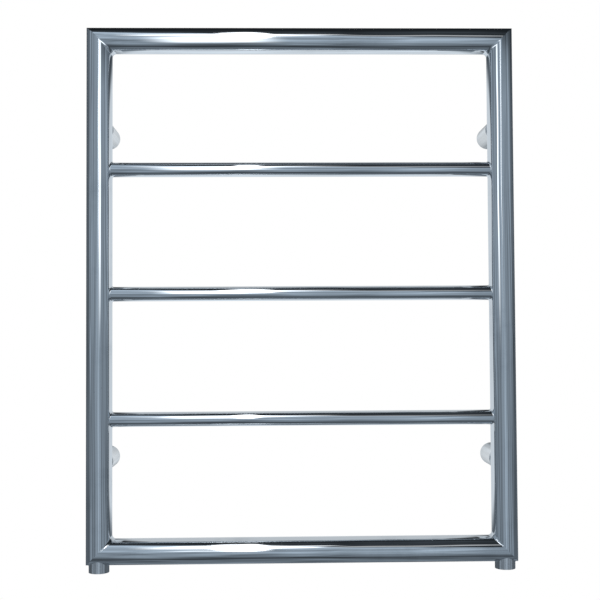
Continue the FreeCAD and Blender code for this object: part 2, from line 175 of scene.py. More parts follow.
class TowelWarmerFinish(bpy.types.PropertyGroup):
    """Colours and polish."""

    chrome: bpy.props.FloatVectorProperty(
        name="Chrome", description="Tint of the chrome plate", subtype="COLOR", size=3,
        default=(0.80, 0.84, 0.88), min=0, max=1,
    )
    smudge: bpy.props.FloatVectorProperty(
        name="Smudged chrome", description="Tint under finger marks and dried water", subtype="COLOR", size=3,
        default=(0.70, 0.74, 0.78), min=0, max=1,
    )
    zinc: bpy.props.FloatVectorProperty(
        name="Zinc", description="Zinc plate of the wall bases", subtype="COLOR", size=3,
        default=(0.62, 0.64, 0.66), min=0, max=1,
    )
    steel: bpy.props.FloatVectorProperty(
        name="Screw steel", description="Grub screws", subtype="COLOR", size=3,
        default=(0.36, 0.37, 0.38), min=0, max=1,
    )
    brass: bpy.props.FloatVectorProperty(
        name="Brass", description="Vent screw", subtype="COLOR", size=3, default=(0.76, 0.56, 0.27), min=0, max=1
    )
    rubber: bpy.props.FloatVectorProperty(
        name="Rubber", description="Washer and O-ring", subtype="COLOR", size=3,
        default=(0.018, 0.018, 0.019), min=0, max=1,
    )
    plastic: bpy.props.FloatVectorProperty(
        name="Plastic", description="Vent spout", subtype="COLOR", size=3, default=(0.86, 0.86, 0.84), min=0, max=1
    )
    ripple_height: bpy.props.FloatProperty(
        name="Ripple height", description="Long waves left in the polished tubes", default=0.0016, unit="LENGTH"
    )
    scratch_height: bpy.props.FloatProperty(
        name="Scratch height", description="Fine polishing lines", default=0.0000015, precision=7, unit="LENGTH"
    )


class TowelWarmerStage(bpy.types.PropertyGroup):
    """Floor, lights and camera."""

    camera_place: bpy.props.FloatVectorProperty(
        name="Camera place", description="Where the camera stands", size=3, subtype="TRANSLATION",
        default=(-0.0325, -1.3862, -0.0536),
    )
    camera_yaw: bpy.props.FloatProperty(
        name="Camera yaw", description="Turn to the left", subtype="ANGLE", default=math.radians(-1.342)
    )
    camera_pitch: bpy.props.FloatProperty(
        name="Camera pitch", description="Tilt upwards", subtype="ANGLE", default=math.radians(1.991)
    )
    camera_roll: bpy.props.FloatProperty(
        name="Camera roll", description="Lean to the right", subtype="ANGLE", default=math.radians(0.309)
    )
    camera_lens: bpy.props.FloatProperty(
        name="Lens", description="Focal length on a 36 mm sensor, in millimetres", default=63.18
    )
    floor_height: bpy.props.FloatProperty(
        name="Floor height", description="Height of the floor", default=-1.2, unit="LENGTH"
    )
    floor_size: bpy.props.FloatProperty(
        name="Floor size", description="Side of the floor", default=4.4, unit="LENGTH"
    )


def sizes():
    return bpy.context.scene.towel_warmer_sizes


def finish():
    return bpy.context.scene.towel_warmer_finish


def stage():
    return bpy.context.scene.towel_warmer_stage


# Modelling helpers


def select_only(piece):
    bpy.ops.object.select_all(action="DESELECT")
    piece.select_set(True)
    bpy.context.view_layer.objects.active = piece


def edit(piece):
    """Enter edit mode on one piece with its whole mesh selected."""
    select_only(piece)
    bpy.ops.object.mode_set(mode="EDIT")
    bpy.ops.mesh.select_all(action="SELECT")


def leave_edit():
    bpy.ops.object.mode_set(mode="OBJECT")


def settle(piece, turn=None, at=(0, 0, 0)):
    """Turn a piece, move it to its place and write both into its mesh."""
    select_only(piece)
    piece.matrix_world = Matrix.Translation(at) @ (turn or Matrix.Identity(4))
    bpy.ops.object.transform_apply(location=True, rotation=True, scale=True)
    return piece


def turn_to(direction):
    """The turn that carries +Z to a direction."""
    return Vector(direction).to_track_quat("Z", "Y").to_matrix().to_4x4()


def apply_modifier(piece, kind, **settings):
    select_only(piece)
    modifier = piece.modifiers.new(kind.title(), kind)
    for setting, value in settings.items():
        setattr(modifier, setting, value)
    bpy.ops.object.modifier_apply(modifier=modifier.name)


def smooth(piece, angle=30):
    """Smooth shading up to an angle, in degrees, with the large faces kept flat."""
    select_only(piece)
    bpy.ops.object.shade_smooth_by_angle(angle=math.radians(angle))
    apply_modifier(piece, "WEIGHTED_NORMAL", keep_sharp=True, weight=80)


def soften(piece, width, segments=3):
    """Round every edge sharper than 30 degrees."""
    apply_modifier(
        piece, "BEVEL", width=width, segments=segments, limit_method="ANGLE", angle_limit=math.radians(30)
    )


def round_bar(radius, length, centre, direction, steps, caps="NGON"):
    bpy.ops.object.select_all(action="DESELECT")
    bpy.ops.mesh.primitive_cylinder_add(vertices=steps, radius=radius, depth=length, end_fill_type=caps)
    return settle(bpy.context.object, turn_to(direction), centre)


def cut_away(piece, cutter, operation="DIFFERENCE"):
    """Cut one closed mesh from another, or join them, and delete the tool."""
    apply_modifier(piece, "BOOLEAN", operation=operation, solver="EXACT", object=cutter)
    bpy.data.objects.remove(cutter)


def cut_round(piece, radius, length, centre, direction, steps=None):
    """Cut a round hole or saddle."""
    cut_away(piece, round_bar(radius, length, centre, direction, steps or sizes().tube_steps))


def lathe(outline, at, direction, steps=None):
    """Turn a closed outline of (radius, distance along the axis) points round the axis."""
    bpy.ops.object.select_all(action="DESELECT")
    bpy.ops.mesh.primitive_circle_add(vertices=len(outline), radius=1)
    piece = bpy.context.object
    for vertex, (radius, along) in zip(piece.data.vertices, outline):
        vertex.co = (radius, 0, along)
    edit(piece)
    bpy.ops.mesh.spin(
        steps=steps or sizes().turned_steps, angle=math.tau, center=(0, 0, 0), axis=(0, 0, 1)
    )
    bpy.ops.mesh.select_all(action="SELECT")
    bpy.ops.mesh.remove_doubles(threshold=1e-6)
    bpy.ops.mesh.dissolve_degenerate(threshold=1e-7)
    bpy.ops.mesh.select_all(action="SELECT")
    bpy.ops.mesh.normals_make_consistent(inside=False)
    leave_edit()
    return settle(piece, turn_to(direction), at)


def tube(radius, wall, length, centre, direction, steps):
    """Outer and inner walls of a tube, its ends still open."""
    bpy.ops.object.select_all(action="DESELECT")
    bpy.ops.mesh.primitive_cylinder_add(
        vertices=steps, radius=radius, depth=length, end_fill_type="NOTHING"
    )
    piece = bpy.context.object
    edit(piece)
    bpy.ops.mesh.duplicate()
    inner = (radius - wall) / radius
    bpy.ops.transform.resize(value=(inner, inner, 1))
    bpy.ops.mesh.flip_normals()
    leave_edit()
    return settle(piece, turn_to(direction), centre)


def trim_end(piece, corner, outwards):
    """Cut an open tube at a plane and close the wall between its two rims."""
    edit(piece)
    bpy.ops.mesh.bisect(plane_co=corner, plane_no=outwards, clear_outer=True)
    bpy.ops.mesh.bridge_edge_loops()
    leave_edit()


def fillet_arc(centre, first, second, share):
    """The point a share of the way round the ball that rolls in a corner, from one contact to the other."""
    start = Vector(first) - centre
    end = Vector(second) - centre
    return centre + start.slerp(end, share).normalized() * start.length


def fillet_ring(small, large, ball, centre, direction, along):
    """The polished weld round a tube that meets a larger one: a ball's fillet, closed through the metal.

    centre is the point where the two axes meet, direction the smaller tube's and along the larger one's.
    """
    around, section = sizes().turned_steps, 16
    bpy.ops.object.select_all(action="DESELECT")
    bpy.ops.mesh.primitive_torus_add(major_segments=around, minor_segments=section)
    piece = bpy.context.object
    half = section // 2
    for vertex in piece.data.vertices:
        ring, step = divmod(vertex.index, section)
        turn = math.tau * ring / around
        side = (small + ball) * math.cos(turn)
        up = (small + ball) * math.sin(turn)
        out = math.sqrt((large + ball) ** 2 - side**2)
        ball_centre = Vector((side, up, out))
        on_small = Vector((small * math.cos(turn), small * math.sin(turn), out))
        on_large = Vector((side * large / (large + ball), up, out * large / (large + ball)))
        if step <= half:
            vertex.co = fillet_arc(ball_centre, on_small, on_large, step / half)
        else:
            crease = Vector((0.97 * on_small.x, 0.97 * on_small.y, 0.97 * on_large.z))
            share = (step - half) / half
            vertex.co = on_large.lerp(crease, share).lerp(crease.lerp(on_small, share), share)
    third = Vector(direction)
    second = Vector(along)
    turn = Matrix((second.cross(third), second, third)).transposed().to_4x4()
    return finish_fillet(settle(piece, turn, centre))


def fillet_crescent(tube_radius, ball, centre, inwards):
    """The polished weld in a mitre: a ball's fillet that runs out to nothing at the front and the back."""
    section, rings = 16, 64
    bpy.ops.object.select_all(action="DESELECT")
    bpy.ops.mesh.primitive_uv_sphere_add(segments=section, ring_count=rings, radius=1)
    piece = bpy.context.object
    reach = tube_radius + ball
    ratio = tube_radius / reach
    for vertex in piece.data.vertices:
        depth = reach * max(-1.0, min(1.0, vertex.co.z))
        corner = math.sqrt(max(0.0, reach**2 - depth**2))
        ball_centre = Vector((corner, depth, corner))
        on_upright = Vector((corner * ratio, depth * ratio, corner))
        on_rail = Vector((corner, depth * ratio, corner * ratio))
        share = (math.atan2(vertex.co.y, vertex.co.x) % math.tau) / math.pi
        if corner < 1e-6:
            vertex.co = on_upright
        elif share <= 1:
            vertex.co = fillet_arc(ball_centre, on_upright, on_rail, share)
        else:
            crease = Vector((0.97 * on_upright.x, depth * ratio, 0.97 * on_rail.z))
            share -= 1
            vertex.co = on_rail.lerp(crease, share).lerp(crease.lerp(on_upright, share), share)
    return finish_fillet(settle(piece, Matrix.Diagonal((*inwards, 1)), centre))


def finish_fillet(piece):
    edit(piece)
    bpy.ops.mesh.remove_doubles(threshold=1e-6)
    bpy.ops.mesh.normals_make_consistent(inside=False)
    leave_edit()
    smooth(piece, 60)
    return piece


def add_piece(piece, name, body, slot, material, *replaced):
    """Name a finished piece, dress it and tie it to its body."""
    piece.name = name
    piece.data.name = name
    piece.data.materials.clear()
    piece.data.materials.append(material)
    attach(piece, body)
    if replaced:
        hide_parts(*replaced)
    return piece


# Shared shader effects


def new_group(name, inputs, outputs):
    """An empty shader node group: (name, socket type, default) inputs and (name, socket type) outputs."""
    group = bpy.data.node_groups.new(name, "ShaderNodeTree")
    for label, kind, default in inputs:
        socket = group.interface.new_socket(label, in_out="INPUT", socket_type=kind)
        if default is not None:
            socket.default_value = default
    for label, kind in outputs:
        group.interface.new_socket(label, in_out="OUTPUT", socket_type=kind)
    return group, group.nodes.new("NodeGroupInput"), group.nodes.new("NodeGroupOutput")


def add_node(tree, kind, links=None, **settings):
    """A node with its settings and plain input values; links maps input names to the sockets that feed them."""
    node = tree.nodes.new(kind)
    for setting, value in settings.items():
        if setting in node.bl_rna.properties:
            setattr(node, setting, value)
        else:
            node.inputs[setting.replace("_", " ")].default_value = value
    for socket, source in (links or {}).items():
        tree.links.new(source, node.inputs[socket])
    return node


def polish_group():
    """Hand-polished metal: long ripples, fine lines across the work, and a mask of smudges and dried drops."""
    group, given, result = new_group(
        "polished_surface",
        [
            ("Vector", "NodeSocketVector", None),
            ("Ripple Scale", "NodeSocketVector", (9.0, 30.0, 30.0)),
            ("Line Scale", "NodeSocketVector", (2600.0, 60.0, 60.0)),
            ("Smudge Scale", "NodeSocketFloat", 14.0),
        ],
        [("Ripple", "NodeSocketFloat"), ("Lines", "NodeSocketFloat"), ("Smudges", "NodeSocketFloat")],
    )
    place = given.outputs["Vector"]
    long_way = add_node(group, "ShaderNodeVectorMath", {0: place, 1: given.outputs["Ripple Scale"]}, operation="MULTIPLY")
    ripple = add_node(group, "ShaderNodeTexNoise", {"Vector": long_way.outputs[0]}, Scale=1.0, Detail=1.0, Roughness=0.4)
    across = add_node(group, "ShaderNodeVectorMath", {0: place, 1: given.outputs["Line Scale"]}, operation="MULTIPLY")
    lines = add_node(group, "ShaderNodeTexNoise", {"Vector": across.outputs[0]}, Scale=1.0, Detail=3.0, Roughness=0.6)
    clouds = add_node(
        group, "ShaderNodeTexNoise", {"Vector": place, "Scale": given.outputs["Smudge Scale"]}, Detail=6.0, Roughness=0.62
    )
    patches = add_node(
        group, "ShaderNodeMapRange", {"Value": clouds.outputs["Fac"]},
        From_Min=0.52, From_Max=0.74, interpolation_type="SMOOTHSTEP",
    )
    cells = add_node(group, "ShaderNodeTexVoronoi", {"Vector": place}, Scale=95.0, Randomness=1.0)
    drops = add_node(
        group, "ShaderNodeMapRange", {"Value": cells.outputs["Distance"]}, From_Min=0.10, From_Max=0.055
    )
    picked = add_node(
        group, "ShaderNodeMath", {0: cells.outputs["Color"]}, operation="GREATER_THAN"
    )
    picked.inputs[1].default_value = 0.86
    dried = add_node(group, "ShaderNodeMath", {0: drops.outputs[0], 1: picked.outputs[0]}, operation="MULTIPLY")
    both = add_node(group, "ShaderNodeMath", {0: patches.outputs[0], 1: dried.outputs[0]}, operation="MAXIMUM")
    group.links.new(ripple.outputs["Fac"], result.inputs["Ripple"])
    group.links.new(lines.outputs["Fac"], result.inputs["Lines"])
    group.links.new(both.outputs[0], result.inputs["Smudges"])
    return group


def turning_group():
    """Rings left by the lathe along an axis, and a mask of dull patches."""
    group, given, result = new_group(
        "turned_surface",
        [
            ("Vector", "NodeSocketVector", None),
            ("Along", "NodeSocketVector", (0.0, 1.0, 0.0)),
            ("Rings", "NodeSocketFloat", 2200.0),
            ("Patch Scale", "NodeSocketFloat", 160.0),
        ],
        [("Height", "NodeSocketFloat"), ("Patches", "NodeSocketFloat")],
    )
    along = add_node(
        group, "ShaderNodeVectorMath", {0: given.outputs["Vector"], 1: given.outputs["Along"]}, operation="DOT_PRODUCT"
    )
    pitch = add_node(group, "ShaderNodeMath", {0: along.outputs["Value"], 1: given.outputs["Rings"]}, operation="MULTIPLY")
    wander = add_node(
        group, "ShaderNodeTexNoise", {"Vector": given.outputs["Vector"], "Scale": given.outputs["Patch Scale"]},
        Detail=4.0, Roughness=0.6,
    )
    shifted = add_node(group, "ShaderNodeMath", {0: pitch.outputs[0], 1: wander.outputs["Fac"]}, operation="ADD")
    rings = add_node(group, "ShaderNodeTexNoise", {"W": shifted.outputs[0]}, noise_dimensions="1D", Scale=1.0, Detail=2.0)
    patches = add_node(
        group, "ShaderNodeMapRange", {"Value": wander.outputs["Fac"]},
        From_Min=0.42, From_Max=0.70, interpolation_type="SMOOTHSTEP",
    )
    group.links.new(rings.outputs["Fac"], result.inputs["Height"])
    group.links.new(patches.outputs[0], result.inputs["Patches"])
    return group


def moulding_group():
    """Grain of moulded plastic or rubber, and a mask of the dust that settles on it."""
    group, given, result = new_group(
        "moulded_surface",
        [("Vector", "NodeSocketVector", None), ("Grain Scale", "NodeSocketFloat", 2400.0)],
        [("Height", "NodeSocketFloat"), ("Dust", "NodeSocketFloat")],
    )
    grain = add_node(
        group, "ShaderNodeTexNoise", {"Vector": given.outputs["Vector"], "Scale": given.outputs["Grain Scale"]},
        Detail=4.0, Roughness=0.7,
    )
    clouds = add_node(group, "ShaderNodeTexNoise", {"Vector": given.outputs["Vector"]}, Scale=260.0, Detail=5.0)
    dust = add_node(
        group, "ShaderNodeMapRange", {"Value": clouds.outputs["Fac"]}, From_Min=0.45, From_Max=0.75
    )
    group.links.new(grain.outputs["Fac"], result.inputs["Height"])
    group.links.new(dust.outputs[0], result.inputs["Dust"])
    return group


def shared_group(name, make):
    return bpy.data.node_groups.get(name) or make()


# Materials


def start_material(name, metallic, ior=1.5):
    material = bpy.data.materials.new(name)
    material.use_nodes = True
    tree = material.node_tree
    shader = tree.nodes["Principled BSDF"]
    shader.inputs["Metallic"].default_value = metallic
    shader.inputs["IOR"].default_value = ior
    coordinates = tree.nodes.new("ShaderNodeTexCoord").outputs["Object"]
    return material, tree, shader, coordinates


def use_group(tree, group, coordinates, **values):
    node = tree.nodes.new("ShaderNodeGroup")
    node.node_tree = group
    tree.links.new(coordinates, node.inputs["Vector"])
    for name, value in values.items():
        node.inputs[name.replace("_", " ")].default_value = value
    return node


def tint(tree, shader, mask, clean, marked):
    """Base colour between two tints by a mask."""
    mix = add_node(tree, "ShaderNodeMix", data_type="RGBA")
    tree.links.new(mask, mix.inputs["Factor"])
    colours = [socket for socket in mix.inputs if socket.type == "RGBA"]
    colours[0].default_value = (*clean, 1)
    colours[1].default_value = (*marked, 1)
    result = next(socket for socket in mix.outputs if socket.type == "RGBA")
    tree.links.new(result, shader.inputs["Base Color"])


def roughen(tree, shader, mask, smooth_value, dull_value):
    """Roughness between two values by a mask."""
    span = add_node(tree, "ShaderNodeMapRange", {"Value": mask}, To_Min=smooth_value, To_Max=dull_value)
    tree.links.new(span.outputs[0], shader.inputs["Roughness"])


def bump(tree, shader, height, distance, under=None):
    """Raise a height over an earlier bump's normal, and feed the shader."""
    node = add_node(tree, "ShaderNodeBump", {"Height": height}, Strength=1.0, Distance=distance)
    if under:
        tree.links.new(under, node.inputs["Normal"])
    tree.links.new(node.outputs["Normal"], shader.inputs["Normal"])
    return node.outputs["Normal"]


def polished_chrome(name, along, clean_roughness=0.025, marked_roughness=0.085, ripple=None):
    """Mirror chrome on a tube: ripples run along it and polishing lines run round it."""
    material, tree, shader, place = start_material(name, 1.0)
    across = {"X": 60.0, "Y": 60.0, "Z": 60.0}
    ripple_scale = [7.0 if axis == along else 26.0 for axis in across]
    line_scale = [2600.0 if axis == along else 45.0 for axis in across]
    surface = use_group(
        tree, shared_group("polished_surface", polish_group), place,
        Ripple_Scale=ripple_scale, Line_Scale=line_scale, Smudge_Scale=17.0,
    )
    tint(tree, shader, surface.outputs["Smudges"], finish().chrome, finish().smudge)
    roughen(tree, shader, surface.outputs["Smudges"], clean_roughness, marked_roughness)
    height = finish().ripple_height if ripple is None else ripple
    rippled = bump(tree, shader, surface.outputs["Ripple"], height)
    bump(tree, shader, surface.outputs["Lines"], finish().scratch_height, rippled)
    return material


def turned_metal(name, colour, dull, along, smooth_value, dull_value, height=0.000012, rings=2200.0):
    """A turned part: lathe rings along its axis and duller patches."""
    material, tree, shader, place = start_material(name, 1.0)
    surface = use_group(
        tree, shared_group("turned_surface", turning_group), place, Along=tuple(AXES[along]), Rings=rings
    )
    tint(tree, shader, surface.outputs["Patches"], colour, dull)
    roughen(tree, shader, surface.outputs["Patches"], smooth_value, dull_value)
    bump(tree, shader, surface.outputs["Height"], height)
    return material


def moulded(name, colour, dusty, clean_roughness, dusty_roughness, height):
    material, tree, shader, place = start_material(name, 0.0)
    surface = use_group(tree, shared_group("moulded_surface", moulding_group), place)
    tint(tree, shader, surface.outputs["Dust"], colour, dusty)
    roughen(tree, shader, surface.outputs["Dust"], clean_roughness, dusty_roughness)
    bump(tree, shader, surface.outputs["Height"], height)
    return material


def shade(colour, factor):
    return tuple(channel * factor for channel in colour)


def finish_of(kind):
    """The material of one kind, made on first use."""
    if kind in bpy.data.materials:
        return bpy.data.materials[kind]
    chrome, smudge = finish().chrome, finish().smudge
    makers = {
        "upright_chrome": lambda: polished_chrome(kind, "Z"),
        "rail_chrome": lambda: polished_chrome(kind, "X"),
        "weld_chrome": lambda: polished_chrome(kind, "Y", 0.05, 0.14, 0.0003),
        "socket_chrome": lambda: turned_metal(kind, chrome, smudge, "Z", 0.05, 0.16, 0.000006),
        "thread_chrome": lambda: turned_metal(kind, shade(smudge, 0.8), shade(smudge, 0.6), "Z", 0.22, 0.42),
        "post_chrome": lambda: turned_metal(kind, chrome, smudge, "Y", 0.04, 0.14, 0.000004),
        "sleeve_chrome": lambda: turned_metal(kind, chrome, smudge, "Y", 0.10, 0.22, 0.000006),
        "zinc_plate": lambda: turned_metal(kind, finish().zinc, shade(finish().zinc, 0.75), "Y", 0.28, 0.45),
        "screw_steel": lambda: turned_metal(kind, finish().steel, shade(finish().steel, 0.6), "Z", 0.26, 0.42),
        "vent_chrome": lambda: turned_metal(kind, chrome, smudge, "Y", 0.05, 0.15, 0.000005),
        "vent_brass": lambda: turned_metal(kind, finish().brass, shade(finish().brass, 0.6), "Y", 0.18, 0.38),
        "seal_rubber": lambda: moulded(kind, finish().rubber, shade(finish().rubber, 3), 0.62, 0.85, 0.00003),
        "spout_plastic": lambda: moulded(kind, finish().plastic, shade(finish().plastic, 0.9), 0.38, 0.55, 0.00001),
    }
    return makers[kind]()


# Operators


class TOWELWARMER_OT_frame_tubes(bpy.types.Operator):
    """Make the four frame tubes, mitred at the corners"""

    bl_idname = "towelwarmer.frame_tubes"
    bl_label = "Frame tubes"

    def execute(self, context):
        length = 2 * (RAIL_Z + 2 * FRAME_RADIUS)
        for side, sign in SIDES.items():
            at = (sign * UPRIGHT_X, TUBE_Y, 0)
            piece = tube(FRAME_RADIUS, sizes().tube_wall, length, at, AXES["Z"], sizes().tube_steps)
            for up in LEVELS.values():
                corner = (sign * UPRIGHT_X, TUBE_Y, up * RAIL_Z)
                trim_end(piece, corner, (-sign, 0, up))
            self.complete(piece, f"{side}_upright", "upright_chrome")
        for level, up in LEVELS.items():
            at = (0, TUBE_Y, up * RAIL_Z)
            piece = tube(FRAME_RADIUS, sizes().tube_wall, length, at, AXES["X"], sizes().tube_steps)
            for sign in SIDES.values():
                corner = (sign * UPRIGHT_X, TUBE_Y, up * RAIL_Z)
                trim_end(piece, corner, (sign, 0, -up))
            if level == "bottom":
                for sign in SIDES.values():
                    at = (sign * UPRIGHT_X, TUBE_Y, -RAIL_Z - FRAME_RADIUS)
                    cut_round(piece, sizes().waterway_radius, FRAME_RADIUS, at, AXES["Z"])
            self.complete(piece, f"{level}_rail", "rail_chrome")
        return {"FINISHED"}

    def complete(self, piece, node, material):
        soften(piece, sizes().seam_rounding)
        smooth(piece)
        add_piece(piece, f"{node}_tube", "rail", "frame_chrome", finish_of(material), node)


class TOWELWARMER_OT_rungs(bpy.types.Operator):
    """Make the three rungs with saddle-cut ends and the welds round them"""

    bl_idname = "towelwarmer.rungs"
    bl_label = "Rungs"

    def execute(self, context):
        for node in RUNGS:
            height = middle(node).z
            at = (0, TUBE_Y, height)
            piece = tube(RUNG_RADIUS, sizes().rung_wall, 2 * UPRIGHT_X, at, AXES["X"], sizes().tube_steps)
            for sign in SIDES.values():
                trim_end(piece, (sign * (UPRIGHT_X - FRAME_RADIUS / 2), 0, 0), (sign, 0, 0))
            for sign in SIDES.values():
                saddle_at = (sign * UPRIGHT_X, TUBE_Y, height)
                cut_round(piece, FRAME_RADIUS, 4 * RUNG_RADIUS, saddle_at, AXES["Z"])
            smooth(piece)
            add_piece(piece, f"{node}_tube", "rail", "rung_chrome", finish_of("rail_chrome"), node)
            for side, sign in SIDES.items():
                at = (sign * UPRIGHT_X, TUBE_Y, height)
                ball = sizes().weld_fillet
                weld = fillet_ring(RUNG_RADIUS, FRAME_RADIUS, ball, at, -sign * AXES["X"], AXES["Z"])
                add_piece(weld, f"{node}_{side}_weld", "rail", "rung_chrome", finish_of("weld_chrome"))
        return {"FINISHED"}


class TOWELWARMER_OT_mitre_welds(bpy.types.Operator):
    """Make the polished weld in each mitred corner"""

    bl_idname = "towelwarmer.mitre_welds"
    bl_label = "Mitre welds"

    def execute(self, context):
        for level, up in LEVELS.items():
            for side, sign in SIDES.items():
                at = (sign * UPRIGHT_X, TUBE_Y, up * RAIL_Z)
                piece = fillet_crescent(FRAME_RADIUS, sizes().mitre_fillet, at, (-sign, 1, -up))
                add_piece(piece, f"{level}_{side}_mitre_weld", "rail", "frame_chrome", finish_of("weld_chrome"))
        return {"FINISHED"}


class TOWELWARMER_OT_water_sockets(bpy.types.Operator):
    """Make the two water sockets with their thread and weld"""

    bl_idname = "towelwarmer.water_sockets"
    bl_label = "Water sockets"

    def execute(self, context):
        size = sizes()
        root = size.thread_crest + size.thread_depth
        top = -RAIL_Z - SOCKET_MOUTH
        for side, sign in SIDES.items():
            node = f"{side}_water_socket"
            at = (sign * UPRIGHT_X, TUBE_Y, SOCKET_MOUTH)
            piece = lathe(
                [
                    (size.waterway_radius, top),
                    (SOCKET_RADIUS, top),
                    (SOCKET_RADIUS, 0),
                    (root + size.edge_rounding, 0),
                    (root, size.edge_rounding),
                    (root, size.thread_length),
                    (size.waterway_radius, size.thread_length),
                ],
                at, AXES["Z"],
            )
            cut_round(piece, FRAME_RADIUS, 4 * SOCKET_RADIUS, (at[0], TUBE_Y, -RAIL_Z), AXES["X"])
            soften(piece, size.edge_rounding)
            smooth(piece)
            add_piece(piece, f"{node}_body", "rail", "socket_chrome", finish_of("socket_chrome"), node)
            thread = self.thread(root, at)
            add_piece(thread, f"{node}_thread", "rail", "socket_chrome", finish_of("thread_chrome"))
            weld_at = (at[0], TUBE_Y, -RAIL_Z)
            weld = fillet_ring(SOCKET_RADIUS, FRAME_RADIUS, size.weld_fillet / 2, weld_at, -AXES["Z"], AXES["X"])
            add_piece(weld, f"{node}_weld", "rail", "socket_chrome", finish_of("weld_chrome"))
        return {"FINISHED"}

    def thread(self, root, at):
        """The helical ridge inside the bore."""
        size = sizes()
        turns = (size.thread_length - 2 * size.thread_pitch) / size.thread_pitch
        bpy.ops.object.select_all(action="DESELECT")
        bpy.ops.mesh.primitive_circle_add(vertices=4, radius=1)
        ridge = bpy.context.object
        foot = root + size.thread_depth / 8
        outline = ((foot, 0.05), (foot, 0.95), (size.thread_crest, 0.57), (size.thread_crest, 0.43))
        for vertex, (radius, share) in zip(ridge.data.vertices, outline):
            vertex.co = (radius, 0, share * size.thread_pitch)
        apply_modifier(
            ridge, "SCREW", angle=math.tau * turns, screw_offset=size.thread_pitch * turns,
            steps=int(size.turned_steps * turns), render_steps=int(size.turned_steps * turns),
            use_normal_calculate=True,
        )
        edit(ridge)
        bpy.ops.mesh.select_all(action="DESELECT")
        bpy.ops.mesh.select_non_manifold()
        bpy.ops.mesh.fill_holes(sides=4)
        bpy.ops.mesh.select_all(action="SELECT")
        bpy.ops.mesh.normals_make_consistent(inside=False)
        leave_edit()
        settle(ridge, None, (at[0], at[1], at[2] + size.thread_pitch / 2))
        smooth(ridge)
        return ridge


def each_bracket():
    """Name and wall point of the four brackets."""
    for level, up in LEVELS.items():
        for side, sign in SIDES.items():
            yield f"{level}_{side}", Vector((sign * UPRIGHT_X, 0, up * BRACKET_Z))


class TOWELWARMER_OT_brackets(bpy.types.Operator):
    """Make the four stand-offs: wall base, sleeve, post and the post's weld"""

    bl_idname = "towelwarmer.brackets"
    bl_label = "Brackets"

    skirt: bpy.props.FloatProperty(
        name="Skirt", description="Sleeve wall round the base", default=0.0019, unit="LENGTH"
    )
    play: bpy.props.FloatProperty(
        name="Play", description="Radial play of the post", default=0.00005, precision=5, unit="LENGTH"
    )
    fixing_radius: bpy.props.FloatProperty(
        name="Fixing hole radius", description="Hole for the wall screw", default=0.00275, unit="LENGTH"
    )
    head_radius: bpy.props.FloatProperty(
        name="Head recess radius", description="Recess for the screw's head", default=0.006, unit="LENGTH"
    )
    head_depth: bpy.props.FloatProperty(
        name="Head recess depth", description="Depth of that recess", default=0.004, unit="LENGTH"
    )
    groove_width: bpy.props.FloatProperty(
        name="Groove width", description="Groove for the grub screw", default=0.005, unit="LENGTH"
    )
    groove_depth: bpy.props.FloatProperty(
        name="Groove depth", description="Depth of that groove", default=0.0012, unit="LENGTH"
    )

    def execute(self, context):
        to_room = -AXES["Y"]
        edge = sizes().edge_rounding
        bore = POST_RADIUS + self.play
        step = BASE_LENGTH + 0.001
        seat = SLEEVE_RADIUS - self.skirt
        cone = BASE_LENGTH - self.head_depth
        groove = (-BASE_GRUB_Y - self.groove_width / 2, -BASE_GRUB_Y + self.groove_width / 2)
        for name, wall_point in each_bracket():
            sleeve = lathe(
                [
                    (seat, SLEEVE_START),
                    (SLEEVE_RADIUS, SLEEVE_START),
                    (SLEEVE_RADIUS, SLEEVE_END),
                    (bore, SLEEVE_END),
                    (bore, step),
                    (seat, step),
                ],
                wall_point, to_room, sizes().tube_steps,
            )
            for along in (POST_GRUB_Y, BASE_GRUB_Y):
                hole_at = wall_point + Vector((0, along, -SLEEVE_RADIUS))
                cut_round(sleeve, GRUB_RADIUS, SLEEVE_RADIUS, hole_at, AXES["Z"], 32)
            soften(sleeve, edge * 1.5)
            smooth(sleeve)
            add_piece(
                sleeve, f"{name}_sleeve_shell", "wall_brackets", "sleeve_chrome", finish_of("sleeve_chrome"),
                f"{name}_sleeve",
            )
            base = lathe(
                [
                    (self.fixing_radius, 0),
                    (BASE_RADIUS, 0),
                    (BASE_RADIUS, groove[0]),
                    (BASE_RADIUS - self.groove_depth, groove[0]),
                    (BASE_RADIUS - self.groove_depth, groove[1]),
                    (BASE_RADIUS, groove[1]),
                    (BASE_RADIUS, BASE_LENGTH),
                    (self.head_radius, BASE_LENGTH),
                    (self.head_radius, cone),
                    (self.fixing_radius, cone - self.head_radius + self.fixing_radius),
                ],
                wall_point, to_room,
            )
            soften(base, edge)
            smooth(base)
            add_piece(
                base, f"{name}_wall_base_plug", "wall_brackets", "base_zinc", finish_of("zinc_plate"),
                f"{name}_wall_base",
            )
            post = lathe(
                [
                    (0, POST_START),
                    (POST_RADIUS - 2 * edge, POST_START),
                    (POST_RADIUS, POST_START + 2 * edge),
                    (POST_RADIUS, -TUBE_Y),
                    (0, -TUBE_Y),
                ],
                wall_point, to_room, sizes().tube_steps,
            )
            upright_at = wall_point + Vector((0, TUBE_Y, 0))
            cut_round(post, FRAME_RADIUS, 4 * POST_RADIUS, upright_at, AXES["Z"])
            smooth(post)
            add_piece(post, f"{name}_post_stub", "rail", "post_chrome", finish_of("post_chrome"), f"{name}_post")
            ball = sizes().weld_fillet
            weld = fillet_ring(POST_RADIUS, FRAME_RADIUS, ball, upright_at, AXES["Y"], AXES["Z"])
            add_piece(weld, f"{name}_post_weld", "rail", "post_chrome", finish_of("weld_chrome"))
        return {"FINISHED"}


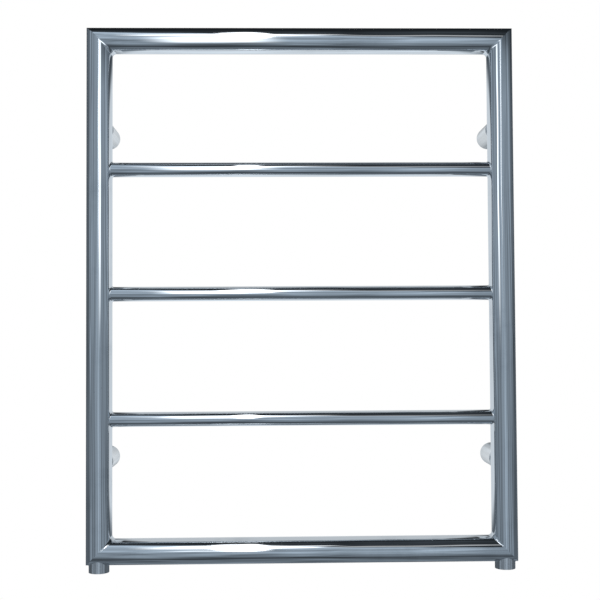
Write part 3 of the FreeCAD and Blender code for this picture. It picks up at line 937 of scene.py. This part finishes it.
class TOWELWARMER_OT_grub_screws(bpy.types.Operator):
    """Make the two sets of socket grub screws"""

    bl_idname = "towelwarmer.grub_screws"
    bl_label = "Grub screws"

    recess: bpy.props.FloatProperty(
        name="Recess", description="How far the screws sit below the sleeve", default=0.0003, unit="LENGTH"
    )
    hexagon_radius: bpy.props.FloatProperty(
        name="Hexagon radius", description="Socket for the key, to its corners", default=0.00115, unit="LENGTH"
    )
    hexagon_depth: bpy.props.FloatProperty(
        name="Hexagon depth", description="Depth of that socket", default=0.0014, unit="LENGTH"
    )

    def execute(self, context):
        head = SLEEVE_RADIUS - self.recess
        tips = {
            "sleeve_grub_screws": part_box("sleeve_grub_screws"),
            "post_grub_screws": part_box("post_grub_screws"),
        }
        for node, (low, high) in tips.items():
            length = head - (BRACKET_Z - high.z)
            along = (low.y + high.y) / 2
            first = self.screw(length)
            copies = [self.copy(first, head, wall_point + Vector((0, along, 0))) for _, wall_point in each_bracket()]
            bpy.data.objects.remove(first)
            bpy.ops.object.select_all(action="DESELECT")
            for piece in copies:
                piece.select_set(True)
            bpy.context.view_layer.objects.active = copies[0]
            bpy.ops.object.join()
            add_piece(
                copies[0], f"{node}_set", "wall_brackets", "grub_steel", finish_of("screw_steel"), node
            )
        return {"FINISHED"}

    def screw(self, length):
        """One screw, its head at the origin and its shank running up."""
        edge = sizes().edge_rounding
        piece = lathe(
            [(0, 0), (GRUB_RADIUS, 0), (GRUB_RADIUS, length - 2 * edge), (GRUB_RADIUS - 2 * edge, length), (0, length)],
            (0, 0, 0), AXES["Z"], 32,
        )
        cutter = round_bar(self.hexagon_radius, 2 * self.hexagon_depth, (0, 0, 0), AXES["Z"], 6)
        cut_away(piece, cutter)
        soften(piece, edge / 3, 2)
        smooth(piece)
        return piece

    def copy(self, first, head, axis_point):
        piece = first.copy()
        piece.data = first.data.copy()
        bpy.context.scene.collection.objects.link(piece)
        return settle(piece, None, axis_point - Vector((0, 0, head)))


class TOWELWARMER_OT_air_vent(bpy.types.Operator):
    """Make the air vent: boss, washer, plug, swivelling spout, screw and O-ring"""

    bl_idname = "towelwarmer.air_vent"
    bl_label = "Air vent"

    thread_radius: bpy.props.FloatProperty(
        name="Thread radius", description="Thread of the plug", default=0.006, unit="LENGTH"
    )
    neck_radius: bpy.props.FloatProperty(
        name="Neck radius", description="Neck that the spout turns on", default=0.0055, unit="LENGTH"
    )
    collar_radius: bpy.props.FloatProperty(
        name="Collar radius", description="Collar that keeps the spout on", default=0.00625, unit="LENGTH"
    )
    collar_thickness: bpy.props.FloatProperty(
        name="Collar thickness", description="That collar", default=0.0012, unit="LENGTH"
    )
    drip_radius: bpy.props.FloatProperty(
        name="Drip radius", description="Hole through the spout", default=0.001, unit="LENGTH"
    )
    key_square: bpy.props.FloatProperty(
        name="Key square", description="Across the screw's square end", default=0.005, unit="LENGTH"
    )
    key_length: bpy.props.FloatProperty(
        name="Key length", description="Length of that end", default=0.007, unit="LENGTH"
    )

    def execute(self, context):
        self.axis_point = Vector((-UPRIGHT_X, 0, VENT_Z))
        self.edge = sizes().edge_rounding
        self.boss()
        self.washer()
        self.plug()
        self.spout()
        self.screw()
        self.seal()
        return {"FINISHED"}

    def turn(self, outline, steps=None):
        """A turned vent part; the outline's distances are row Y, towards the wall."""
        return lathe(outline, self.axis_point, AXES["Y"], steps)

    def boss(self):
        bore = self.thread_radius
        piece = self.turn(
            [(bore, TUBE_Y + FRAME_RADIUS / 2), (BOSS_RADIUS, TUBE_Y + FRAME_RADIUS / 2), (BOSS_RADIUS, BOSS_FACE), (bore, BOSS_FACE)]
        )
        upright_at = self.axis_point + Vector((0, TUBE_Y, 0))
        cut_round(piece, FRAME_RADIUS, 4 * BOSS_RADIUS, upright_at, AXES["Z"])
        soften(piece, self.edge)
        smooth(piece)
        add_piece(piece, "vent_boss_body", "rail", "socket_chrome", finish_of("vent_chrome"), "vent_boss")
        ball = sizes().weld_fillet
        weld = fillet_ring(BOSS_RADIUS, FRAME_RADIUS, ball, upright_at, AXES["Y"], AXES["Z"])
        add_piece(weld, "vent_boss_weld", "rail", "socket_chrome", finish_of("weld_chrome"))

    def washer(self):
        bore = self.thread_radius
        piece = self.turn(
            [(bore, BOSS_FACE), (FLANGE_RADIUS, BOSS_FACE), (FLANGE_RADIUS, WASHER_FACE), (bore, WASHER_FACE)]
        )
        soften(piece, self.edge)
        smooth(piece)
        add_piece(piece, "vent_washer_ring", "rail", "seal_rubber", finish_of("seal_rubber"), "vent_washer")

    def plug(self):
        bore = SCREW_RADIUS + 0.00005
        seat_hole = self.drip_radius
        neck_start = SPOUT_START - 0.0001
        collar_start = PLUG_END - self.collar_thickness
        seat_end = PLUG_START + 0.001 + bore - seat_hole
        piece = self.turn(
            [
                (seat_hole, PLUG_START),
                (self.thread_radius, PLUG_START),
                (self.thread_radius, WASHER_FACE),
                (FLANGE_RADIUS, WASHER_FACE),
                (FLANGE_RADIUS, neck_start),
                (self.neck_radius, neck_start),
                (self.neck_radius, collar_start),
                (self.collar_radius, collar_start),
                (self.collar_radius, PLUG_END),
                (bore, PLUG_END),
                (bore, seat_end),
                (seat_hole, PLUG_START + 0.001),
            ]
        )
        middle_y = (WASHER_FACE + neck_start) / 2
        notches = 24
        for notch in range(notches):
            angle = math.tau * notch / notches
            rim = self.axis_point + Vector((math.cos(angle), 0, math.sin(angle))) * (FLANGE_RADIUS + 0.0004)
            cut_round(piece, 0.0007, 2 * FLANGE_RADIUS, (rim.x, middle_y, rim.z), AXES["Y"], 12)
        soften(piece, self.edge / 2, 2)
        smooth(piece)
        add_piece(piece, "vent_plug_body", "rail", "vent_chrome", finish_of("vent_chrome"), "vent_plug")

    def spout(self):
        bore = self.neck_radius + 0.00005
        middle_y = (SPOUT_START + SPOUT_END) / 2
        groove = bore + 0.0011
        piece = self.turn(
            [
                (bore, SPOUT_START),
                (SPOUT_RADIUS, SPOUT_START),
                (SPOUT_RADIUS, SPOUT_END),
                (bore, SPOUT_END),
                (bore, middle_y + self.drip_radius),
                (groove, middle_y + self.drip_radius),
                (groove, middle_y - self.drip_radius),
                (bore, middle_y - self.drip_radius),
            ]
        )
        root = (groove + SPOUT_RADIUS) / 2
        nose_at = self.axis_point + Vector((0, middle_y, -(root + SPOUT_MOUTH) / 2))
        nose = round_bar(0.0022, SPOUT_MOUTH - root, nose_at, AXES["Z"], 40)
        cut_away(piece, nose, "UNION")
        drip_at = self.axis_point + Vector((0, middle_y, -(bore + SPOUT_MOUTH) / 2))
        cut_round(piece, self.drip_radius, SPOUT_MOUTH - bore + 0.001, drip_at, AXES["Z"], 24)
        soften(piece, self.edge)
        smooth(piece)
        add_piece(piece, "vent_spout_ring", "spout", "spout_plastic", finish_of("spout_plastic"), "vent_spout")

    def screw(self):
        waist = SCREW_RADIUS - 0.0009
        middle_y = (SPOUT_START + SPOUT_END) / 2
        square_start = SCREW_END - self.key_length
        tip = self.drip_radius - 0.00005
        cone_end = SCREW_START + SCREW_RADIUS - tip
        seal = middle("vent_o_ring").y
        piece = self.turn(
            [
                (0, SCREW_START),
                (tip, SCREW_START),
                (SCREW_RADIUS, cone_end),
                (SCREW_RADIUS, middle_y - 0.002),
                (waist, middle_y - 0.002),
                (waist, middle_y + 0.001),
                (SCREW_RADIUS, middle_y + 0.001),
                (SCREW_RADIUS, seal - 0.0009),
                (waist, seal - 0.0009),
                (waist, seal + 0.0009),
                (SCREW_RADIUS, seal + 0.0009),
                (SCREW_RADIUS, square_start),
                (0, square_start),
            ],
            48,
        )
        bpy.ops.object.select_all(action="DESELECT")
        bpy.ops.mesh.primitive_cube_add(size=1)
        square = bpy.context.object
        square.dimensions = (self.key_square, self.key_length + self.edge, self.key_square)
        square.location = self.axis_point + Vector((0, SCREW_END - (self.key_length + self.edge) / 2, 0))
        bpy.ops.object.transform_apply(location=True, rotation=True, scale=True)
        cut_away(piece, square, "UNION")
        soften(piece, self.edge / 2, 2)
        smooth(piece)
        add_piece(piece, "vent_screw_body", "vent_key", "screw_brass", finish_of("vent_brass"), "vent_screw")

    def seal(self):
        low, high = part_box("vent_o_ring")
        section = (high.y - low.y) / 2
        bpy.ops.object.select_all(action="DESELECT")
        bpy.ops.mesh.primitive_torus_add(
            major_radius=(high.x - low.x) / 2 - section, minor_radius=section, major_segments=64, minor_segments=20
        )
        piece = settle(bpy.context.object, turn_to(AXES["Y"]), (low + high) / 2)
        smooth(piece, 60)
        add_piece(piece, "vent_o_ring_seal", "vent_seal", "seal_rubber", finish_of("seal_rubber"), "vent_o_ring")


def soft_area_light(name, place, target, width, height, radiance, colour, edge):
    """A rectangular light that fades over its edges and only shows in reflections."""
    lamp = bpy.data.lights.new(name, "AREA")
    lamp.shape = "RECTANGLE"
    lamp.size = width
    lamp.size_y = height
    lamp.energy = radiance * math.pi * width * height
    lamp.color = colour
    lamp.use_nodes = True
    tree = lamp.node_tree
    emission = next(node for node in tree.nodes if node.type == "EMISSION")
    across = tree.nodes.new("ShaderNodeNewGeometry").outputs["Parametric"]
    parts = add_node(tree, "ShaderNodeSeparateXYZ", {"Vector": across})
    strength = None
    for axis in ("X", "Y"):
        centred = add_node(tree, "ShaderNodeMath", {0: parts.outputs[axis]}, operation="SUBTRACT")
        centred.inputs[1].default_value = 0.5
        off_centre = add_node(tree, "ShaderNodeMath", {0: centred.outputs[0]}, operation="ABSOLUTE")
        fade = add_node(
            tree, "ShaderNodeMapRange", {"Value": off_centre.outputs[0]},
            From_Min=0.5, From_Max=0.5 - edge, interpolation_type="SMOOTHSTEP",
        )
        if strength:
            both = add_node(tree, "ShaderNodeMath", {0: strength, 1: fade.outputs[0]}, operation="MULTIPLY")
            strength = both.outputs[0]
        else:
            strength = fade.outputs[0]
    tree.links.new(strength, emission.inputs["Strength"])
    light = bpy.data.objects.new(name, lamp)
    bpy.context.scene.collection.objects.link(light)
    light.location = place
    light.rotation_euler = (Vector(target) - Vector(place)).to_track_quat("-Z", "Y").to_euler()
    light.visible_camera = False
    return light


def glow_group():
    """A soft-edged oval of light among directions given by their side and their height over the top."""
    group, given, result = new_group(
        "oval_glow",
        [
            ("Side", "NodeSocketFloat", 0.0),
            ("Height", "NodeSocketFloat", 0.0),
            ("Centre Side", "NodeSocketFloat", 0.0),
            ("Centre Height", "NodeSocketFloat", 0.0),
            ("Half Width", "NodeSocketFloat", 0.1),
            ("Half Height", "NodeSocketFloat", 0.1),
            ("Strength", "NodeSocketFloat", 1.0),
        ],
        [("Glow", "NodeSocketFloat")],
    )
    squares = []
    for value, centre, half in (("Side", "Centre Side", "Half Width"), ("Height", "Centre Height", "Half Height")):
        away = add_node(
            group, "ShaderNodeMath", {0: given.outputs[value], 1: given.outputs[centre]}, operation="SUBTRACT"
        )
        share = add_node(
            group, "ShaderNodeMath", {0: away.outputs[0], 1: given.outputs[half]}, operation="DIVIDE"
        )
        squares.append(add_node(group, "ShaderNodeMath", {0: share.outputs[0], 1: share.outputs[0]}, operation="MULTIPLY"))
    total = add_node(
        group, "ShaderNodeMath", {0: squares[0].outputs[0], 1: squares[1].outputs[0]}, operation="ADD"
    )
    fade = add_node(
        group, "ShaderNodeMapRange", {"Value": total.outputs[0]},
        From_Min=1.0, From_Max=0.0, interpolation_type="SMOOTHERSTEP",
    )
    glow = add_node(
        group, "ShaderNodeMath", {0: fade.outputs[0], 1: given.outputs["Strength"]}, operation="MULTIPLY"
    )
    group.links.new(glow.outputs[0], result.inputs["Glow"])
    return group


class TOWELWARMER_OT_stage(bpy.types.Operator):
    """Make the floor, the studio surroundings, the lights and the camera"""

    bl_idname = "towelwarmer.stage"
    bl_label = "Stage"

    def execute(self, context):
        self.floor()
        self.surroundings(context.scene)
        self.lights()
        self.camera(context.scene)
        context.scene.view_settings.view_transform = "Standard"
        return {"FINISHED"}

    def floor(self):
        bpy.ops.object.select_all(action="DESELECT")
        bpy.ops.mesh.primitive_plane_add(size=stage().floor_size, location=(0, 0, stage().floor_height))
        plane = bpy.context.object
        plane.name = "floor"
        bpy.ops.object.transform_apply(location=True, rotation=True, scale=True)
        material, tree, shader, place = start_material("pale_floor", 0.0)
        shader.inputs["Base Color"].default_value = (0.86, 0.87, 0.88, 1)
        shader.inputs["Roughness"].default_value = 0.8
        plane.data.materials.append(material)
        plane.visible_glossy = False

    def surroundings(self, scene):
        """White to the camera and to dull surfaces; in reflections a blue-grey room with a dark ceiling."""
        world = bpy.data.worlds.new("studio")
        scene.world = world
        world.use_nodes = True
        tree = world.node_tree
        tree.nodes.clear()
        direction = tree.nodes.new("ShaderNodeTexCoord").outputs["Generated"]
        parts = add_node(tree, "ShaderNodeSeparateXYZ", {"Vector": direction})
        side, depth, up = (parts.outputs[axis] for axis in "XYZ")
        forwards = self.math(tree, "MULTIPLY", depth, -1.0)
        height = self.math(tree, "ARCTAN2", up, forwards)
        room = self.room_tone(tree, side, height)
        room = self.ceiling(tree, room, side, up, height)
        glow = self.glows(tree, side, height)
        lit = add_node(tree, "ShaderNodeVectorMath", {0: room, 1: glow}, operation="ADD")
        reflected = add_node(tree, "ShaderNodeBackground", {"Color": lit.outputs[0]}, Strength=1.0)
        white = add_node(tree, "ShaderNodeBackground", Color=(1, 1, 1, 1), Strength=1.0)
        path = tree.nodes.new("ShaderNodeLightPath")
        plain = self.math(tree, "MAXIMUM", path.outputs["Is Camera Ray"], path.outputs["Is Diffuse Ray"])
        mix = add_node(tree, "ShaderNodeMixShader", {0: plain, 1: reflected.outputs[0], 2: white.outputs[0]})
        add_node(tree, "ShaderNodeOutputWorld", {"Surface": mix.outputs[0]})

    def math(self, tree, operation, first, second):
        """One Math node; its second input is a socket or a plain value."""
        node = add_node(tree, "ShaderNodeMath", {0: first}, operation=operation)
        if isinstance(second, (int, float)):
            node.inputs[1].default_value = second
        else:
            tree.links.new(second, node.inputs[1])
        return node.outputs[0]

    def between(self, tree, value, start, end):
        """0 before start, 1 after end, softly."""
        node = add_node(
            tree, "ShaderNodeMapRange", {"Value": value},
            From_Min=start, From_Max=end, interpolation_type="SMOOTHSTEP",
        )
        return node.outputs[0]

    def room_tone(self, tree, side, height):
        """Blue-grey room: dark floor, lighter above, darker at the sides, with upright streaks."""
        place = add_node(
            tree, "ShaderNodeMapRange", {"Value": height}, From_Min=-math.pi, From_Max=math.pi
        )
        ramp = add_node(tree, "ShaderNodeValToRGB", {"Fac": place.outputs[0]})
        elements = ramp.color_ramp.elements
        elements.remove(elements[1])
        for degrees, tone in ROOM_TONES:
            position = (degrees + 180) / 360
            element = elements.new(position) if position > 0 else elements[0]
            element.color = (*(tone * channel for channel in ROOM_TINT), 1)
        stretched = add_node(tree, "ShaderNodeCombineXYZ", {"X": side, "Y": height})
        stretch = add_node(tree, "ShaderNodeVectorMath", {0: stretched.outputs[0]}, operation="MULTIPLY")
        stretch.inputs[1].default_value = (10.0, 2.6, 0.0)
        streaks = add_node(tree, "ShaderNodeTexNoise", {"Vector": stretch.outputs[0]}, Scale=1.0, Detail=3.0)
        streak = add_node(
            tree, "ShaderNodeMapRange", {"Value": streaks.outputs["Fac"]},
            From_Min=0.30, From_Max=0.70, To_Min=0.35, To_Max=1.45,
        )
        off_side = self.math(tree, "ABSOLUTE", side, 0.0)
        edge = self.between(tree, off_side, 0.15, 0.45)
        dim = self.math(tree, "MULTIPLY_ADD", edge, -0.30)
        dim.node.inputs[2].default_value = 1.0
        shade_of = self.math(tree, "MULTIPLY", streak.outputs[0], dim)
        toned = add_node(tree, "ShaderNodeVectorMath", {0: ramp.outputs["Color"]}, operation="SCALE")
        tree.links.new(shade_of, toned.inputs["Scale"])
        return toned.outputs[0]

    def ceiling(self, tree, room, side, up, height):
        """Black ceiling, coming lower to the right."""
        lean = self.math(tree, "MULTIPLY", side, 2.6)
        level = self.math(tree, "ADD", height, lean)
        overhead = self.between(tree, level, 0.74, 0.81)
        high = self.between(tree, up, 0.22, 0.32)
        black = self.math(tree, "MULTIPLY", overhead, high)
        left = self.math(tree, "MULTIPLY_ADD", black, -0.92)
        left.node.inputs[2].default_value = 1.0
        toned = add_node(tree, "ShaderNodeVectorMath", {0: room}, operation="SCALE")
        tree.links.new(left, toned.inputs["Scale"])
        return toned.outputs[0]

    def glows(self, tree, side, height):
        """The soft lights above and in front, as ovals of directions."""
        total = None
        for centre_side, centre_height, half_width, half_height, strength in GLOWS:
            glow = tree.nodes.new("ShaderNodeGroup")
            glow.node_tree = shared_group("oval_glow", glow_group)
            tree.links.new(side, glow.inputs["Side"])
            tree.links.new(height, glow.inputs["Height"])
            glow.inputs["Centre Side"].default_value = centre_side
            glow.inputs["Centre Height"].default_value = math.radians(centre_height)
            glow.inputs["Half Width"].default_value = half_width
            glow.inputs["Half Height"].default_value = math.radians(half_height)
            glow.inputs["Strength"].default_value = strength
            total = self.math(tree, "ADD", glow.outputs[0], total) if total else glow.outputs[0]
        return total

    def lights(self):
        strip_at = (-0.14, -0.68, 0.30)
        soft_area_light(
            "side_strip", strip_at, (-0.14, 0, 0.30), 0.27, 0.80, 1.25, (0.97, 0.99, 1.0), 0.34
        )
        soft_area_light(
            "wall_glow", (0, 0.02, 0), (0, -1, 0), 0.53, 0.66, 0.62, (0.93, 0.97, 1.0), 0.08
        )

    def camera(self, scene):
        settings = stage()
        data = bpy.data.cameras.new("camera")
        data.sensor_width = 36
        data.lens = settings.camera_lens
        camera = bpy.data.objects.new("camera", data)
        scene.collection.objects.link(camera)
        turn = (
            Matrix.Rotation(settings.camera_yaw, 4, "Z")
            @ Matrix.Rotation(settings.camera_pitch, 4, "X")
            @ Matrix.Rotation(settings.camera_roll, 4, "Y")
            @ Matrix.Rotation(math.pi / 2, 4, "X")
        )
        camera.matrix_world = Matrix.Translation(settings.camera_place) @ turn
        scene.camera = camera


OPERATORS = (
    TOWELWARMER_OT_stage,
    TOWELWARMER_OT_frame_tubes,
    TOWELWARMER_OT_mitre_welds,
    TOWELWARMER_OT_rungs,
    TOWELWARMER_OT_water_sockets,
    TOWELWARMER_OT_brackets,
    TOWELWARMER_OT_grub_screws,
    TOWELWARMER_OT_air_vent,
)


class TOWELWARMER_PT_panel(bpy.types.Panel):
    """The pieces in the order they are made"""

    bl_idname = "TOWELWARMER_PT_panel"
    bl_label = "Towel warmer"
    bl_space_type = "VIEW_3D"
    bl_region_type = "UI"
    bl_category = "Towel warmer"

    def draw(self, context):
        for operator in OPERATORS:
            self.layout.operator(operator.bl_idname)


SETTINGS = {
    "towel_warmer_sizes": TowelWarmerSizes,
    "towel_warmer_finish": TowelWarmerFinish,
    "towel_warmer_stage": TowelWarmerStage,
}


def register():
    for name, group in SETTINGS.items():
        bpy.utils.register_class(group)
        setattr(bpy.types.Scene, name, bpy.props.PointerProperty(type=group))
    for operator in OPERATORS:
        bpy.utils.register_class(operator)
    bpy.utils.register_class(TOWELWARMER_PT_panel)


def unregister():
    bpy.utils.unregister_class(TOWELWARMER_PT_panel)
    for operator in reversed(OPERATORS):
        bpy.utils.unregister_class(operator)
    for name, group in SETTINGS.items():
        delattr(bpy.types.Scene, name)
        bpy.utils.unregister_class(group)


def main():
    register()
    for operator in OPERATORS:
        family, name = operator.bl_idname.split(".")
        getattr(getattr(bpy.ops, family), name)()


if __name__ == "__main__":
    main()
